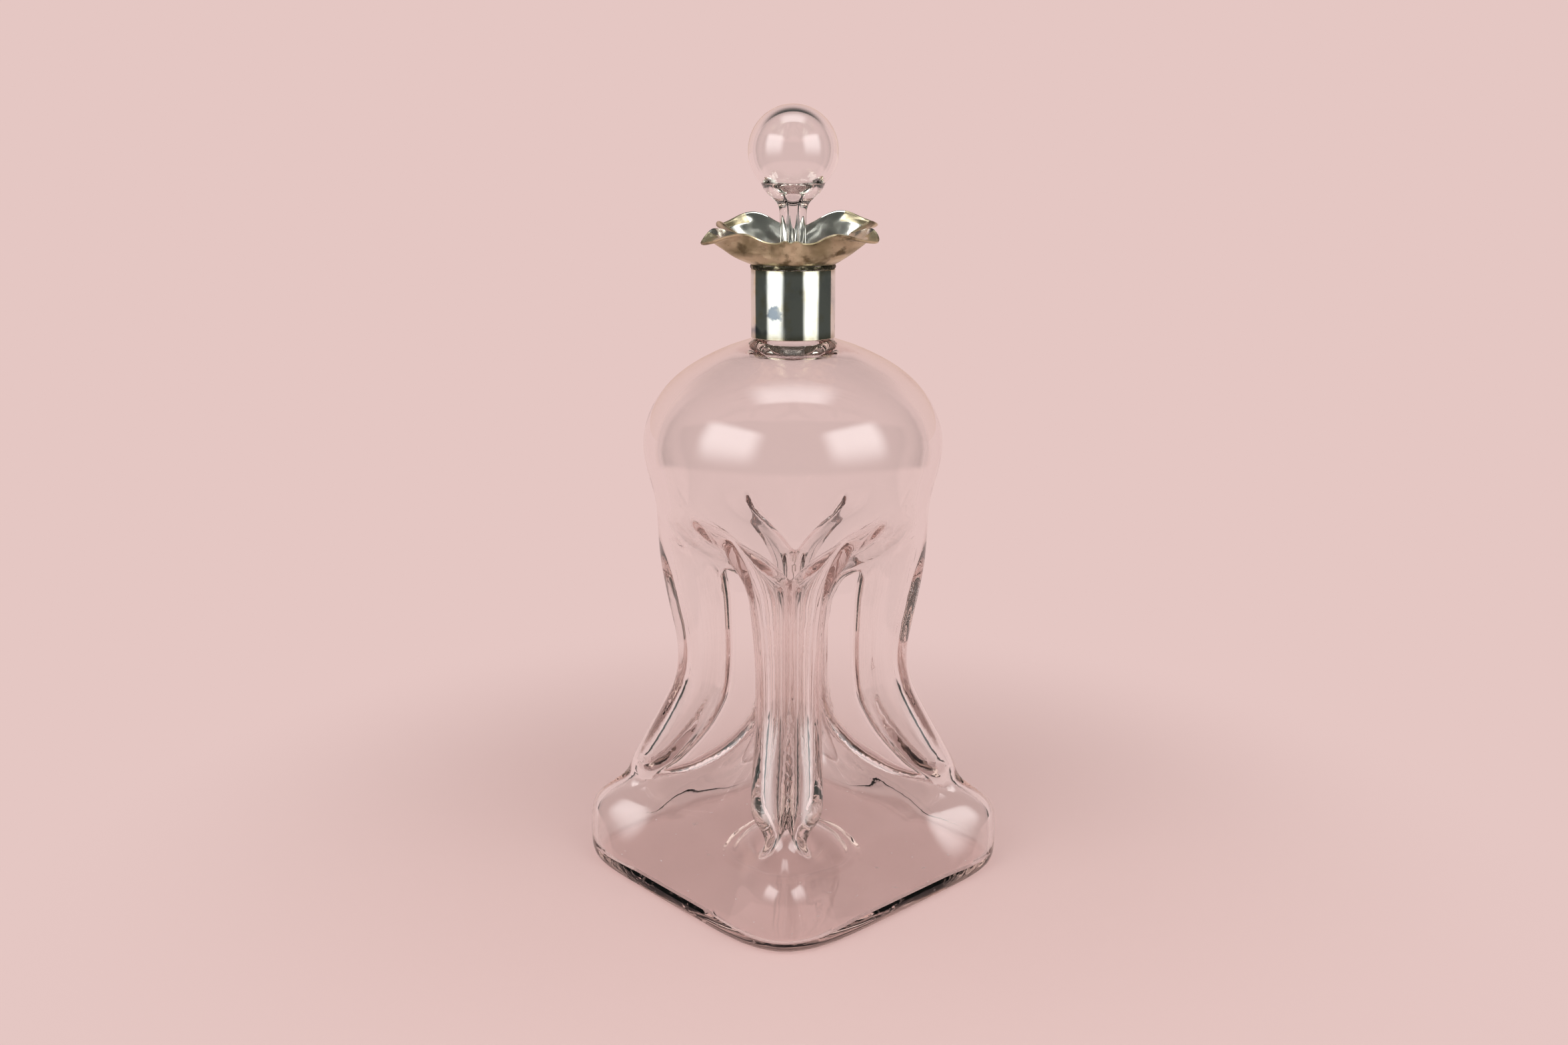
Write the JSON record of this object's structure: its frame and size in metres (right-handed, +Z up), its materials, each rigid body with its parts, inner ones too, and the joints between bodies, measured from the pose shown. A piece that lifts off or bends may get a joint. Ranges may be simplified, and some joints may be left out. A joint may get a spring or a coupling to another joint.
{
  "type": "glass decanter",
  "caption": "Clear blown glass decanter with pinched sides that form five tubes, a plain silver neck sleeve with a petal shaped lip, and a hollow ball stopper that lifts out.",
  "frame": {"origin": "centre of the square foot, on the plane that it stands on", "axes": "+Z up through the neck; +X and +Y point through the middles of two sides of the foot, so the four corner tubes stand on the diagonals"},
  "size_m": [0.1256, 0.1256, 0.28],
  "materials": {
    "glass": "polished, clear",
    "silver": "polished silver, lightly tarnished",
    "solder": "dark tarnished silver solder",
    "bedding": "matt plaster"
  },
  "bodies": {
    "decanter": {"glass_body": "glass", "neck_sleeve": "silver", "mount_bedding": "bedding", "solder_seam": "solder", "petal_lip": "silver"},
    "stopper": {"stopper": "glass"}
  },
  "joints": [
    {"name": "stopper_lift", "type": "slide", "parent": "decanter", "child": "stopper", "axis": [0, 0, 1], "range_m": [0, 0.08]}
  ]
}
